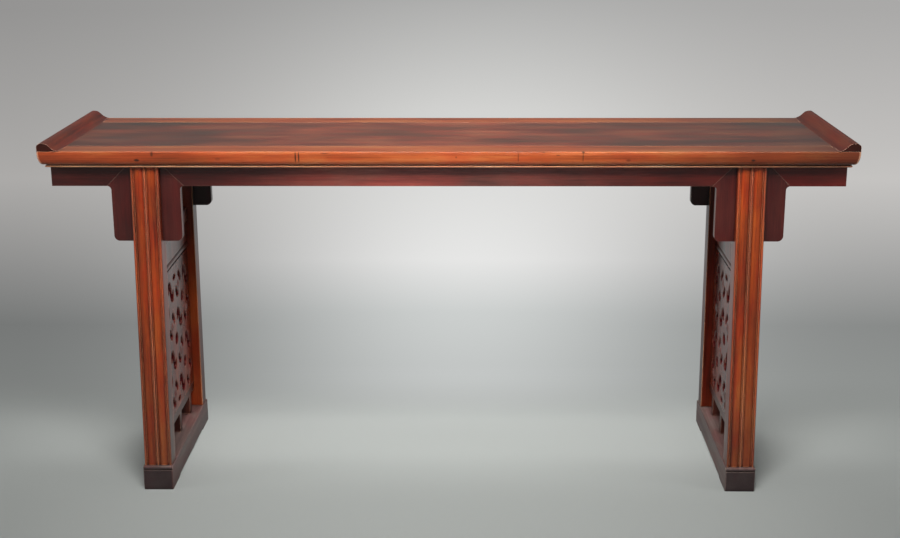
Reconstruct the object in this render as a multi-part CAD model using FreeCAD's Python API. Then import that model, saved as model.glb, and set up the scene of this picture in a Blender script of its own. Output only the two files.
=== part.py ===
"""Chinese altar table with everted flanges, recessed slotted legs, openwork end panels and base runners.

Millimetres, +Z up, X along the table, front towards -Y, origin on the floor under the middle of the top.
Each function makes one piece. Pieces are made for the front or the right-hand end and mirrored.
"""
import FreeCAD, Part
import math
import os

os.makedirs("parts", exist_ok=True)
Vector = FreeCAD.Vector

# Overall sizes
table_length = 2000.0
table_depth = 500.0
top_height = 890.0

# Workshop allowances
fit_gap = 0.2
overrun = 5.0

# Frame of the top
frame_thickness = 42.0
long_rail_width = 76.0
end_rail_width = 54.0
arris_radius = 2.5

# Moulded edge of the frame, from the top arris down
edge_face_height = 8.0
edge_swell_height = 26.5
edge_swell_set_in = 13.0
edge_bead_height = 5.5
edge_bead_set_in = 17.0
swell_set_in_shares = (0.0, 0.05, 0.16, 0.32, 0.56, 1.0)
swell_height_shares = (0.0, 0.25, 0.50, 0.72, 0.90, 1.0)

# Everted flange on each end rail
flange_height = 20.0
flange_length_shares = (0.0, 0.15, 0.29, 0.44, 0.58, 0.73, 0.88, 0.98, 1.0)
flange_height_shares = (0.0, 0.10, 0.29, 0.65, 0.92, 1.0, 0.95, 0.72, 0.45)

# Mitre tenons of the long rails
mitre_tenon_root = 60.0
mitre_tenon_end_set_in = 18.0
mitre_tenon_near = 24.0
mitre_tenon_width = 20.0
mitre_tenon_thickness = 12.0
mitre_tenon_rise = 18.0

# Floating panel of the top
panel_thickness = 18.0
panel_tongue_length = 10.0
panel_tongue_thickness = 8.0
panel_tongue_drop = 5.0
panel_play = 2.0

# Dovetailed battens under the panel
inner_batten_place = 210.0
outer_batten_place = 620.0
batten_width = 40.0
batten_dovetail_depth = 5.0
batten_neck_width = 24.0
batten_dovetail_width = 28.0
batten_rise = 2.0
batten_tenon_length = 12.0
batten_tenon_width = 24.0
batten_tenon_set_in = 4.0

# Aprons
apron_overhang = 20.0
apron_height = 52.0
apron_thickness = 20.0
apron_set_back = 40.0
end_apron_set_in = 4.0
end_apron_tenon_length = 6.0
end_apron_tenon_thickness = 8.0
end_apron_tenon_shoulder = 12.0

# Spandrels
spandrel_drop = 140.0
spandrel_width = 171.0
spandrel_from_end = 252.0
spandrel_corner_radius = 14.0
spandrel_cove_radius = 10.0

# Legs
leg_width = 70.0
leg_depth = 50.0
leg_set_back = 25.0
leg_from_end = 254.0
leg_splay_sideways = 5.6
leg_splay_forward = 17.0
leg_arris_bead = 6.5
leg_centre_bead = 5.0
leg_quirk_width = 2.0
leg_quirk_depth = 3.5
leg_arris_bead_rise = 3.0
leg_centre_bead_rise = 2.3
leg_band_rise = 4.2
leg_top_tenon_width = 44.0
leg_top_tenon_height = 20.0
leg_top_tenon_shoulder = 3.0
leg_top_tenon_thickness = 8.0
leg_foot_tenon_width = 32.0
leg_foot_tenon_depth = 24.0
leg_foot_tenon_height = 34.0

# End frames between the legs
strut_height = 53.0
lower_rail_height = 23.0
middle_rail_height = 20.0
plain_panel_height = 60.0
upper_rail_height = 36.0
upper_rail_drop = 4.0
end_panel_thickness = 24.0
end_tongue_length = 4.0
end_tongue_thickness = 8.0
end_tongue_play = 0.5
middle_rail_swell = 2.0
middle_rail_quirk = 4.0
upper_rail_thickness = 34.0
cross_tenon_length = 20.0
cross_tenon_thickness = 10.0

# Short struts between runner and lower cross rail
strut_width = 22.0
strut_from_leg = 57.0
strut_flare = 4.0
strut_tenon_width = 12.0
strut_tenon_thickness = 8.0
strut_tenon_length = 8.0

# Openwork: cells between the legs and rails, S slots in every second one and a boss between two ring
# slots in the others; slots, holes and bosses are shares of a cell
cells_across = 4
cells_up = 4
openwork_top_margin = 16.0
s_slot_width_share = 0.2903
s_slot_height_share = 0.2737
s_slot_across_shares = (-1.00, -1.20, -0.98, -0.38, 0.12, 0.36, 0.56, 0.70, 0.78)
s_slot_up_shares = (0.02, 0.66, 1.10, 1.12, 0.70, 0.12, -0.34, -0.38, -0.14)
ring_slot_radius_share = 0.301
ring_slot_width_share = 0.1828
ring_slot_start = math.radians(20.0)
ring_slot_end = math.radians(70.0)
round_hole_radius_share = 0.172
round_hole_points = 12
half_hole_height_share = 0.1505
half_hole_set_in_share = 0.1895
boss_radius_share = 0.1398
boss_rise = 4.0

# Base runners
runner_height = 64.0
runner_width = 76.0
runner_length = 500.0
runner_corner_radius = 4.0
runner_top_radius = 2.5
runner_face_height = 53.0
runner_quirk_height = 2.5
runner_quirk_set_in = 3.0
runner_shoulder_set_in = 8.0
runner_shoulder_start = 1.5
runner_pad_length = 85.0
runner_relief = 6.0

# Sizes that follow from those above
half_length = table_length / 2
half_depth = table_depth / 2
frame_bottom = top_height - frame_thickness
panel_half_length = half_length - end_rail_width
panel_half_depth = half_depth - long_rail_width
panel_bottom = top_height - panel_thickness
tongue_top = top_height - panel_tongue_drop
tongue_bottom = tongue_top - panel_tongue_thickness
apron_half_length = half_length - apron_overhang
apron_bottom = frame_bottom - apron_height
apron_front = -half_depth + apron_set_back
apron_back = apron_front + apron_thickness
apron_middle = apron_front + apron_thickness / 2
spandrel_centre = half_length - spandrel_from_end
spandrel_bottom = apron_bottom - spandrel_drop
leg_centre_at_top = half_length - leg_from_end
leg_rise = frame_bottom - runner_height
lower_rail_bottom = runner_height + strut_height
openwork_bottom = lower_rail_bottom + lower_rail_height
upper_rail_top = spandrel_bottom - upper_rail_drop
upper_rail_bottom = upper_rail_top - upper_rail_height
plain_panel_bottom = upper_rail_bottom - plain_panel_height
openwork_top = plain_panel_bottom - middle_rail_height
end_groove_depth = end_tongue_length + end_tongue_play
arc_share = 1 - math.sqrt(0.5)


def block(low, high):
    """Box between two opposite corners."""
    size = high - low
    return Part.makeBox(size.x, size.y, size.z, low)


def flat(points):
    """Flat face inside a closed run of straight edges."""
    return Part.Face(Part.makePolygon(points + points[:1]))


def lines(points):
    """Straight edges from point to point."""
    return [Part.LineSegment(a, b).toShape() for a, b in zip(points, points[1:])]


def arc(start, middle, end):
    """Arc edge through three points."""
    return Part.Arc(start, middle, end).toShape()


def curve(points, first_tangent=None, last_tangent=None):
    """Smooth edge through points, with its end directions where they are given."""
    spline = Part.BSplineCurve()
    if first_tangent is None:
        spline.interpolate(points)
    else:
        spline.interpolate(Points=points, InitialTangent=first_tangent, FinalTangent=last_tangent)
    return spline.toShape()


def face_of(edges):
    """Flat face inside a closed run of edges."""
    return Part.Face(Part.Wire(edges))


def mirror_x(shape):
    """The same piece at the other end of the table."""
    return shape.mirror(Vector(0, 0, 0), Vector(1, 0, 0))


def mirror_y(shape):
    """The same piece on the other long side."""
    return shape.mirror(Vector(0, 0, 0), Vector(0, 1, 0))


def save(name, shape):
    """Write one sub-part as a clean solid."""
    shape = shape.removeSplitter()
    solids = shape.Solids
    if len(solids) != 1 or not shape.isValid():
        raise RuntimeError(name + " is not one valid solid")
    solids[0].exportStep("parts/" + name + ".step")


# Frame of the top

def edge_section(place, width, arris):
    """Section of a frame rail: soft arris, short face, swell, quirk and bead, then flat below.

    place turns a set-in from the outer face and a drop from the top surface into a point.
    """
    swell_end = edge_face_height + edge_swell_height
    bead_start = frame_thickness - edge_bead_height
    bead_middle = frame_thickness - edge_bead_height / 2
    bead_radius = edge_bead_height / 2
    swell = [
        place(edge_swell_set_in * across, edge_face_height + edge_swell_height * down)
        for across, down in zip(swell_set_in_shares, swell_height_shares)
    ]
    edges = lines([
        place(edge_bead_set_in, frame_thickness),
        place(width, frame_thickness),
        place(width, 0),
        place(arris, 0),
    ])
    if arris:
        edges.append(arc(place(arris, 0), place(arris * arc_share, arris * arc_share), place(0, arris)))
    edges += lines([place(0, arris), place(0, edge_face_height)])
    edges.append(curve(swell))
    edges += lines([
        place(edge_swell_set_in, swell_end),
        place(edge_bead_set_in, swell_end),
        place(edge_bead_set_in, bead_start),
    ])
    edges.append(arc(
        place(edge_bead_set_in, bead_start),
        place(edge_bead_set_in - bead_radius, bead_middle),
        place(edge_bead_set_in, frame_thickness),
    ))
    return face_of(edges)


def corner_line(side):
    """The plan points where a long rail meets the end rail at one end: mitre, then a square butt."""
    mitre_depth = half_depth - end_rail_width
    return [
        Vector(side * half_length, -half_depth, 0),
        Vector(side * panel_half_length, -mitre_depth, 0),
        Vector(side * panel_half_length, -panel_half_depth, 0),
    ]


def mitre_tenon(gap):
    """Tenon of the front long rail into the right end rail, or its mortise when a gap is given."""
    near = -half_depth + mitre_tenon_near
    low = frame_bottom + mitre_tenon_rise - mitre_tenon_thickness / 2
    return block(
        Vector(half_length - mitre_tenon_root, near - gap, low - gap),
        Vector(
            half_length - mitre_tenon_end_set_in + gap,
            near + mitre_tenon_width + gap,
            low + mitre_tenon_thickness + gap,
        ),
    )


def tongue_groove():
    """Groove round the inside of the frame for the panel's tongue."""
    reach = panel_tongue_length + panel_play
    return block(
        Vector(-panel_half_length - reach, -panel_half_depth - reach, tongue_bottom - fit_gap),
        Vector(panel_half_length + reach, panel_half_depth + reach, tongue_top + fit_gap),
    )


def front_long_rail():
    """Long rail at the front, mitred at both ends, with mortises for battens and legs."""
    section = edge_section(
        lambda set_in, drop: Vector(-half_length, -half_depth + set_in, top_height - drop),
        long_rail_width,
        arris_radius,
    )
    bar = section.extrude(Vector(table_length, 0, 0))
    plan = flat(corner_line(1) + corner_line(-1)[::-1])
    plan.translate(Vector(0, 0, frame_bottom))
    rail = bar.common(plan.extrude(Vector(0, 0, frame_thickness)))
    tenon = mitre_tenon(0)
    rail = rail.fuse([tenon, mirror_x(tenon)]).cut(tongue_groove())
    sockets = [batten_tenon(place, fit_gap) for place in batten_places()]
    for tenon in leg_top_tenons(fit_gap):
        sockets += [tenon, mirror_x(tenon)]
    return rail.cut(sockets)


def right_end_rail():
    """Right end rail with its everted flange in one piece; the flange runs on over the long rails."""
    section = edge_section(
        lambda set_in, drop: Vector(half_length - set_in, -half_depth, top_height - drop),
        end_rail_width,
        0,
    )
    bar = section.extrude(Vector(0, table_depth, 0))
    corner = corner_line(1)[:2]
    far_corner = [Vector(point.x, -point.y, 0) for point in corner]
    plan = flat(corner + far_corner[::-1])
    plan.translate(Vector(0, 0, frame_bottom))
    rail = bar.common(plan.extrude(Vector(0, 0, frame_thickness)))
    outline = [
        Vector(panel_half_length + end_rail_width * along, -half_depth, top_height + flange_height * up)
        for along, up in zip(flange_length_shares, flange_height_shares)
    ]
    top_line = curve(outline, Vector(1, 0, 0), Vector(0, 0, -1))
    corner_point = Vector(half_length, -half_depth, top_height)
    flange = face_of([top_line] + lines([outline[-1], corner_point, outline[0]]))
    rail = rail.fuse(flange.extrude(Vector(0, table_depth, 0))).cut(tongue_groove())
    mortise = mitre_tenon(fit_gap)
    return rail.cut([mortise, mirror_y(mortise)])


# Floating panel and its battens

def batten_places():
    """Distances of the batten centre lines from the middle of the table."""
    return (-outer_batten_place, -inner_batten_place, inner_batten_place, outer_batten_place)


def dovetail(place, gap):
    """Dovetailed key on a batten, or its slot in the panel when a gap is given."""
    neck = batten_neck_width / 2 + gap
    head = batten_dovetail_width / 2 + gap
    top = panel_bottom + batten_dovetail_depth + gap
    section = flat([
        Vector(place - neck, -panel_half_depth, panel_bottom),
        Vector(place + neck, -panel_half_depth, panel_bottom),
        Vector(place + head, -panel_half_depth, top),
        Vector(place - head, -panel_half_depth, top),
    ])
    return section.extrude(Vector(0, 2 * panel_half_depth, 0))


def batten_tenon(place, gap):
    """Tenon bar through a batten into both long rails, or its mortises when a gap is given."""
    reach = panel_half_depth + batten_tenon_length + gap
    half_width = batten_tenon_width / 2 + gap
    return block(
        Vector(place - half_width, -reach, frame_bottom + batten_rise + batten_tenon_set_in - gap),
        Vector(place + half_width, reach, panel_bottom - batten_tenon_set_in + gap),
    )


def batten(place):
    """Transverse batten that keeps the panel flat."""
    body = block(
        Vector(place - batten_width / 2, -panel_half_depth, frame_bottom + batten_rise),
        Vector(place + batten_width / 2, panel_half_depth, panel_bottom),
    )
    return body.fuse([dovetail(place, 0), batten_tenon(place, 0)])


def top_panel():
    """Floating panel, flush with the frame, tongued all round."""
    body = block(
        Vector(-panel_half_length + fit_gap, -panel_half_depth + fit_gap, panel_bottom),
        Vector(panel_half_length - fit_gap, panel_half_depth - fit_gap, top_height),
    )
    tongue_half_length = panel_half_length + panel_tongue_length
    tongue_half_depth = panel_half_depth + panel_tongue_length
    tongue = block(
        Vector(-tongue_half_length, -tongue_half_depth, tongue_bottom),
        Vector(tongue_half_length, tongue_half_depth, tongue_top),
    )
    return body.fuse(tongue).cut([dovetail(place, fit_gap) for place in batten_places()])


# Aprons and spandrels

def lap_points(y):
    """The mitred lap of the right spandrel over the apron, as points at one depth."""
    foot = spandrel_width / 2 + spandrel_cove_radius
    head = foot - apron_height
    return [
        Vector(spandrel_centre - foot, y, apron_bottom),
        Vector(spandrel_centre + foot, y, apron_bottom),
        Vector(spandrel_centre + head, y, frame_bottom),
        Vector(spandrel_centre - head, y, frame_bottom),
    ]


def spandrel_lap():
    """The front half of the apron's thickness that the right spandrel takes, mitred both sides."""
    return flat(lap_points(apron_front)).extrude(Vector(0, apron_middle - apron_front, 0))


def end_apron_tenon(gap):
    """Tenon bar through the right end apron into both long aprons, or its mortises."""
    middle = apron_half_length - end_apron_set_in - apron_thickness / 2
    half_thickness = end_apron_tenon_thickness / 2 + gap
    reach = -apron_back + end_apron_tenon_length + gap
    return block(
        Vector(middle - half_thickness, -reach, apron_bottom + end_apron_tenon_shoulder - gap),
        Vector(middle + half_thickness, reach, frame_bottom - end_apron_tenon_shoulder + gap),
    )


def front_apron():
    """Long apron board through both front legs, lapped where the spandrels cross it."""
    board = block(
        Vector(-apron_half_length, apron_front, apron_bottom),
        Vector(apron_half_length, apron_back, frame_bottom),
    )
    lap = spandrel_lap()
    mortise = end_apron_tenon(fit_gap)
    return board.cut([lap, mirror_x(lap), mortise, mirror_x(mortise)])


def right_end_apron():
    """Short apron board that closes the end between the long aprons."""
    outer = apron_half_length - end_apron_set_in
    board = block(
        Vector(outer - apron_thickness, apron_back, apron_bottom),
        Vector(outer, -apron_back, frame_bottom),
    )
    return board.fuse(end_apron_tenon(0))


def front_right_spandrel():
    """Spandrel board with coved upper and rounded lower corners, through the leg's slot."""
    half = spandrel_width / 2
    cove = spandrel_cove_radius
    corner = spandrel_corner_radius

    def at(across, z):
        return Vector(spandrel_centre + across, apron_front, z)

    right_side = [
        arc(
            at(half + cove, apron_bottom),
            at(half + cove * arc_share, apron_bottom - cove * arc_share),
            at(half, apron_bottom - cove),
        ),
        *lines([at(half, apron_bottom - cove), at(half, spandrel_bottom + corner)]),
        arc(
            at(half, spandrel_bottom + corner),
            at(half - corner * arc_share, spandrel_bottom + corner * arc_share),
            at(half - corner, spandrel_bottom),
        ),
    ]
    left_side = [
        arc(
            at(corner - half, spandrel_bottom),
            at(corner * arc_share - half, spandrel_bottom + corner * arc_share),
            at(-half, spandrel_bottom + corner),
        ),
        *lines([at(-half, spandrel_bottom + corner), at(-half, apron_bottom - cove)]),
        arc(
            at(-half, apron_bottom - cove),
            at(-half - cove * arc_share, apron_bottom - cove * arc_share),
            at(-half - cove, apron_bottom),
        ),
    ]
    foot = lines([at(half - corner, spandrel_bottom), at(corner - half, spandrel_bottom)])
    head = lines([at(-half - cove, apron_bottom), at(half + cove, apron_bottom)])
    board = face_of(right_side + foot + left_side + head).extrude(Vector(0, apron_thickness, 0))
    return board.fuse(spandrel_lap())


# Legs

def lean(z):
    """How far down the leg a height lies: 0 at the frame, 1 at the runner."""
    return (frame_bottom - z) / leg_rise


def leg_centre(z):
    """Distance of the leg's centre line from the middle of the table at a height."""
    return leg_centre_at_top + leg_splay_sideways * lean(z)


def leg_outer_face(z):
    """Distance of the leg's moulded face from the table's centre line at a height."""
    return half_depth - leg_set_back + leg_splay_forward * lean(z)


def leg_inner_face(z):
    """Distance of the leg's plain inner face from the table's centre line at a height."""
    return leg_outer_face(z) - leg_depth


def leg_section(z):
    """Plan section of the front right leg: beads at both arrises and the middle, two swelling bands."""
    band = (leg_width - 2 * leg_arris_bead - leg_centre_bead - 4 * leg_quirk_width) / 2
    strips = [
        (leg_arris_bead, leg_arris_bead_rise),
        (leg_quirk_width, 0),
        (band, leg_band_rise),
        (leg_quirk_width, 0),
        (leg_centre_bead, leg_centre_bead_rise),
        (leg_quirk_width, 0),
        (band, leg_band_rise),
        (leg_quirk_width, 0),
        (leg_arris_bead, leg_arris_bead_rise),
    ]
    left = leg_centre(z) - leg_width / 2
    front = -leg_outer_face(z)
    floor = front + leg_quirk_depth
    edges = []
    across = left
    for width, rise in strips:
        start = Vector(across, floor, z)
        end = Vector(across + width, floor, z)
        if rise:
            foot = Vector(across, front + rise, z)
            far_foot = Vector(across + width, front + rise, z)
            edges += lines([start, foot])
            edges.append(arc(foot, Vector(across + width / 2, front, z), far_foot))
            edges += lines([far_foot, end])
        else:
            edges += lines([start, end])
        across += width
    back = front + leg_depth
    edges += lines([
        Vector(across, floor, z),
        Vector(across, back, z),
        Vector(left, back, z),
        Vector(left, floor, z),
    ])
    return face_of(edges)


def leg_top_tenons(gap):
    """The two tenons of the front right leg in the long rail, or their mortises."""
    middle = leg_centre(frame_bottom)
    half_width = leg_top_tenon_width / 2 + gap
    top = frame_bottom + leg_top_tenon_height + gap
    front = -leg_outer_face(frame_bottom) + leg_top_tenon_shoulder
    tenons = []
    for start in (front, apron_back + leg_top_tenon_shoulder):
        tenons.append(block(
            Vector(middle - half_width, start - gap, frame_bottom - gap),
            Vector(middle + half_width, start + leg_top_tenon_thickness + gap, top),
        ))
    return tenons


def leg_foot_tenon(gap):
    """Tenon of the front right leg in the runner, or its mortise when a gap is given."""
    middle = leg_centre(runner_height)
    centre_y = -leg_outer_face(runner_height) + leg_depth / 2
    half_width = leg_foot_tenon_width / 2 + gap
    half_tenon = leg_foot_tenon_depth / 2 + gap
    return block(
        Vector(middle - half_width, centre_y - half_tenon, runner_height - leg_foot_tenon_height - gap),
        Vector(middle + half_width, centre_y + half_tenon, runner_height + gap),
    )


def front_right_leg():
    """Leg with a slot at the top for apron and spandrel, and mortises for the end frame."""
    rise = Vector(
        leg_centre(frame_bottom) - leg_centre(runner_height),
        leg_outer_face(runner_height) - leg_outer_face(frame_bottom),
        leg_rise,
    )
    shaft = leg_section(runner_height).extrude(rise)
    leg = shaft.fuse([leg_foot_tenon(0)] + leg_top_tenons(0))
    half_slot = leg_width / 2 + overrun
    slot = block(
        Vector(leg_centre_at_top - half_slot, apron_front - fit_gap, spandrel_bottom),
        Vector(leg_centre_at_top + half_slot, apron_back + fit_gap, frame_bottom + overrun),
    )
    return leg.cut([
        slot,
        tongue_housing(openwork_bottom, upper_rail_bottom),
        cross_tenon(lower_rail_bottom, openwork_bottom, fit_gap),
        cross_tenon(openwork_top, plain_panel_bottom, fit_gap),
        cross_tenon(upper_rail_bottom, upper_rail_top, fit_gap),
    ])


# End frames

def on_end_plane(y, z, across=0):
    """Point on the plane through the right-hand legs' centre lines, moved sideways by across."""
    return Vector(leg_centre(z) + across, y, z)


def end_board(low, high, thickness, reach):
    """Board between the right-hand legs, running on by reach past each leg's face."""
    near = leg_inner_face(low) + reach
    far = leg_inner_face(high) + reach
    outline = [(-near, low), (near, low), (far, high), (-far, high)]
    face = flat([on_end_plane(y, z, -thickness / 2) for y, z in outline])
    return face.extrude(Vector(thickness, 0, 0))


def tongued_board(low, high):
    """End panel with a thin tongue all round."""
    board = end_board(low, high, end_panel_thickness, 0)
    tongue = end_board(
        low - end_tongue_length, high + end_tongue_length, end_tongue_thickness, end_tongue_length
    )
    return board.fuse(tongue)


def tongue_housing(low, high):
    """Groove for the tongues of the end panels, with play at its floor."""
    return end_board(
        low - end_groove_depth,
        high + end_groove_depth,
        end_tongue_thickness + 2 * fit_gap,
        end_groove_depth,
    )


def cross_tenon(low, high, gap):
    """Tenon bar of a cross rail into both legs, clear of the grooves, or its mortises when a gap is given."""
    return end_board(
        low + end_groove_depth - gap,
        high - end_groove_depth + gap,
        cross_tenon_thickness + 2 * gap,
        cross_tenon_length + gap,
    )


def right_middle_cross_rail():
    """Slim rail between the openwork and the plain board, its broad faces rounded between two quirks."""
    low = openwork_top
    high = plain_panel_bottom
    middle = (low + high) / 2
    edge_half = end_panel_thickness / 2 - middle_rail_quirk
    swell_half = end_panel_thickness / 2 + middle_rail_swell
    near = -leg_inner_face(low) - overrun

    def at(z, across):
        return on_end_plane(near, z, across)

    section = face_of([
        arc(at(low, edge_half), at(middle, swell_half), at(high, edge_half)),
        *lines([at(high, edge_half), at(high, -edge_half)]),
        arc(at(high, -edge_half), at(middle, -swell_half), at(low, -edge_half)),
        *lines([at(low, -edge_half), at(low, edge_half)]),
    ])
    bar = section.extrude(Vector(0, -2 * near, 0))
    bar = bar.common(end_board(low, high, 2 * (swell_half + overrun), 0))
    bar = bar.fuse(cross_tenon(low, high, 0))
    return bar.cut([tongue_housing(openwork_bottom, low), tongue_housing(high, upper_rail_bottom)])


def right_upper_cross_rail():
    """Square cross rail level with the feet of the spandrels."""
    bar = end_board(upper_rail_bottom, upper_rail_top, upper_rail_thickness, 0)
    bar = bar.fuse(cross_tenon(upper_rail_bottom, upper_rail_top, 0))
    return bar.cut(tongue_housing(plain_panel_bottom, upper_rail_bottom))


def right_lower_cross_rail():
    """Cross rail under the openwork, flush with it, mortised for the struts."""
    bar = end_board(lower_rail_bottom, openwork_bottom, end_panel_thickness, 0)
    bar = bar.fuse(cross_tenon(lower_rail_bottom, openwork_bottom, 0))
    mortises = [strut_tenon(place, fit_gap) for place in strut_places()]
    return bar.cut([tongue_housing(openwork_bottom, openwork_top)] + mortises)


def right_plain_panel():
    """Plain board between the upper and the middle cross rail."""
    return tongued_board(plain_panel_bottom, upper_rail_bottom)


def strut_places():
    """Distances of the struts' centre lines from the table's centre line: front, centre, rear."""
    outer = leg_inner_face(runner_height) - strut_from_leg
    return (-outer, 0, outer)


def strut_body(place, low, high, width, thickness):
    """Upright bar in the right end plane."""
    face = flat([
        on_end_plane(place - width / 2, low, -thickness / 2),
        on_end_plane(place + width / 2, low, -thickness / 2),
        on_end_plane(place + width / 2, high, -thickness / 2),
        on_end_plane(place - width / 2, high, -thickness / 2),
    ])
    return face.extrude(Vector(thickness, 0, 0))


def strut_tenon(place, gap):
    """Tenon bar of a strut into rail and runner, or its mortises when a gap is given."""
    return strut_body(
        place,
        runner_height - strut_tenon_length - gap,
        lower_rail_bottom + strut_tenon_length + gap,
        strut_tenon_width + 2 * gap,
        strut_tenon_thickness + 2 * gap,
    )


def right_strut(place):
    """Short strut that carries the lower cross rail, flared at its foot."""
    half = strut_width / 2
    low = runner_height

    def at(across, z):
        return on_end_plane(place + across, z, -end_panel_thickness / 2)

    def flare(side):
        return [
            at(side * (half + strut_flare), low),
            at(side * (half + strut_flare * arc_share), low + strut_flare * arc_share),
            at(side * half, low + strut_flare),
        ]

    near = flare(-1)
    far = flare(1)
    outline = [arc(*near)]
    outline += lines([near[2], at(-half, lower_rail_bottom), at(half, lower_rail_bottom), far[2]])
    outline += [arc(*far[::-1])] + lines([far[0], near[0]])
    body = face_of(outline).extrude(Vector(end_panel_thickness, 0, 0))
    return body.fuse(strut_tenon(place, 0))


# Openwork

def openwork_cell():
    """Width and height of one cell, which fill the panel between the legs and up to its top margin."""
    middle = (openwork_bottom + openwork_top) / 2
    width = 2 * leg_inner_face(middle) / cells_across
    height = (openwork_top - openwork_top_margin - openwork_bottom) / cells_up
    return width, height


def s_slot(y, z):
    """Edge of one S-shaped slot, its hooks at upper front and lower rear."""
    width, height = openwork_cell()
    half = [
        (y + width * s_slot_width_share * across, z + height * s_slot_height_share * up)
        for across, up in zip(s_slot_across_shares, s_slot_up_shares)
    ]
    other_half = [(2 * y - across, 2 * z - up) for across, up in half]
    spline = Part.BSplineCurve()
    points = [on_end_plane(across, up, -end_panel_thickness) for across, up in half + other_half]
    spline.interpolate(Points=points, PeriodicFlag=True)
    return [spline.toShape()]


def ring_slot(y, z, turn):
    """Edges of one slot that bends round a boss, with round ends."""
    def at(radius, angle):
        return on_end_plane(
            y + radius * math.cos(angle + turn), z + radius * math.sin(angle + turn), -end_panel_thickness
        )

    cell = min(openwork_cell())
    radius = cell * ring_slot_radius_share
    half_width = cell * ring_slot_width_share / 2
    inner = radius - half_width
    outer = radius + half_width
    middle_angle = (ring_slot_start + ring_slot_end) / 2
    cap_angle = half_width / radius
    return [
        arc(at(inner, ring_slot_start), at(inner, middle_angle), at(inner, ring_slot_end)),
        arc(at(inner, ring_slot_end), at(radius, ring_slot_end + cap_angle), at(outer, ring_slot_end)),
        arc(at(outer, ring_slot_end), at(outer, middle_angle), at(outer, ring_slot_start)),
        arc(at(outer, ring_slot_start), at(radius, ring_slot_start - cap_angle), at(inner, ring_slot_start)),
    ]


def round_hole(y, z, half_height):
    """Edges of one round or flattened hole."""
    def at(across, up):
        return on_end_plane(y + across, z + up, -end_panel_thickness)

    radius = min(openwork_cell()) * round_hole_radius_share
    spline = Part.BSplineCurve()
    turns = [2 * math.pi * k / round_hole_points for k in range(round_hole_points)]
    points = [at(radius * math.cos(t), half_height * math.sin(t)) for t in turns]
    spline.interpolate(Points=points, PeriodicFlag=True)
    return [spline.toShape()]


def openwork_cells():
    """Centre of each cell and whether it holds an S slot, row by row."""
    width, height = openwork_cell()
    for row in range(cells_up):
        for column in range(cells_across):
            y = (column - (cells_across - 1) / 2) * width
            z = openwork_bottom + row * height + height / 2
            yield y, z, (row + column) % 2 == 0


def hole_outlines():
    """Outlines of all the holes of one openwork panel."""
    outlines = []
    for y, z, has_slot in openwork_cells():
        if has_slot:
            outlines.append(s_slot(y, z))
        else:
            outlines.append(ring_slot(y, z, 0))
            outlines.append(ring_slot(y, z, math.pi))
    width, height = openwork_cell()
    smaller = min(width, height)
    for row in range(1, cells_up):
        for column in range(1, cells_across):
            if (row + column) % 2 == 0:
                y = (column - cells_across / 2) * width
                z = openwork_bottom + row * height
                outlines.append(round_hole(y, z, smaller * round_hole_radius_share))
    set_in = height * half_hole_set_in_share
    for edge in (openwork_bottom + set_in, openwork_bottom + cells_up * height - set_in):
        outlines.append(round_hole(0, edge, smaller * half_hole_height_share / 2))
    return outlines


def carved_bosses():
    """Low domes on both faces of the openwork, in the cells without a slot."""
    boss_radius = min(openwork_cell()) * boss_radius_share
    radius = (boss_radius ** 2 + boss_rise ** 2) / (2 * boss_rise)
    depth = end_panel_thickness / 2 + boss_rise - radius
    domes = []
    for y, z, has_slot in openwork_cells():
        if has_slot:
            continue
        for side in (-1, 1):
            ball = Part.makeSphere(radius, on_end_plane(y, z, side * depth))
            inner, outer = sorted((0, side * end_panel_thickness))
            keep = block(
                on_end_plane(y - boss_radius, z - boss_radius, inner),
                on_end_plane(y + boss_radius, z + boss_radius, outer),
            )
            domes.append(ball.common(keep))
    return domes


def right_openwork_panel():
    """Pierced board with carved bosses, tongued on all sides."""
    plate = tongued_board(openwork_bottom, openwork_top)
    holes = [
        face_of(outline).extrude(Vector(2 * end_panel_thickness, 0, 0)) for outline in hole_outlines()
    ]
    return plate.cut(holes).fuse(carved_bosses())


# Base runners

def runner_side():
    """Side outline of a runner: moulded shoulders at both ends, feet at both ends of the underside."""
    half = runner_length / 2
    pad = half - runner_pad_length
    quirk_top = runner_face_height + runner_quirk_height
    shoulder_height = runner_height - quirk_top
    shoulder_width = runner_shoulder_set_in - runner_shoulder_start

    def shoulder(side):
        out = side * (half - runner_shoulder_start)
        top = side * (half - runner_shoulder_set_in)
        middle = out - side * shoulder_width * arc_share
        return [
            Vector(0, out, quirk_top),
            Vector(0, middle, runner_height - shoulder_height * arc_share),
            Vector(0, top, runner_height),
        ]

    def face(side):
        return [
            Vector(0, side * (half - runner_shoulder_start), quirk_top),
            Vector(0, side * (half - runner_quirk_set_in), quirk_top),
            Vector(0, side * (half - runner_quirk_set_in), runner_face_height),
            Vector(0, side * half, runner_face_height),
            Vector(0, side * half, 0),
            Vector(0, side * pad, 0),
            Vector(0, side * (pad - runner_relief), runner_relief),
        ]

    near = shoulder(-1)
    far = shoulder(1)
    edges = lines(face(-1)[::-1])
    edges.append(arc(*near))
    edges += lines([near[2], far[2]])
    edges.append(arc(*far))
    edges += lines(face(1) + face(-1)[-1:])
    return face_of(edges)


def rounded_plan():
    """Plan of a runner with rounded vertical corners."""
    half = runner_length / 2
    side = runner_width / 2
    body = block(Vector(-side, -half, 0), Vector(side, half, runner_height))
    upright = [edge for edge in body.Edges if abs(edge.BoundBox.ZLength - runner_height) < overrun]
    return body.makeFillet(runner_corner_radius, upright)


def rounded_top():
    """Cross-section bar of a runner with rounded top edges."""
    half = runner_length / 2
    side = runner_width / 2
    body = block(Vector(-side, -half - overrun, 0), Vector(side, half + overrun, runner_height))
    long_top = [
        edge for edge in body.Edges
        if edge.BoundBox.ZMin > runner_height / 2 and edge.BoundBox.YLength > runner_length
    ]
    return body.makeFillet(runner_top_radius, long_top)


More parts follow.
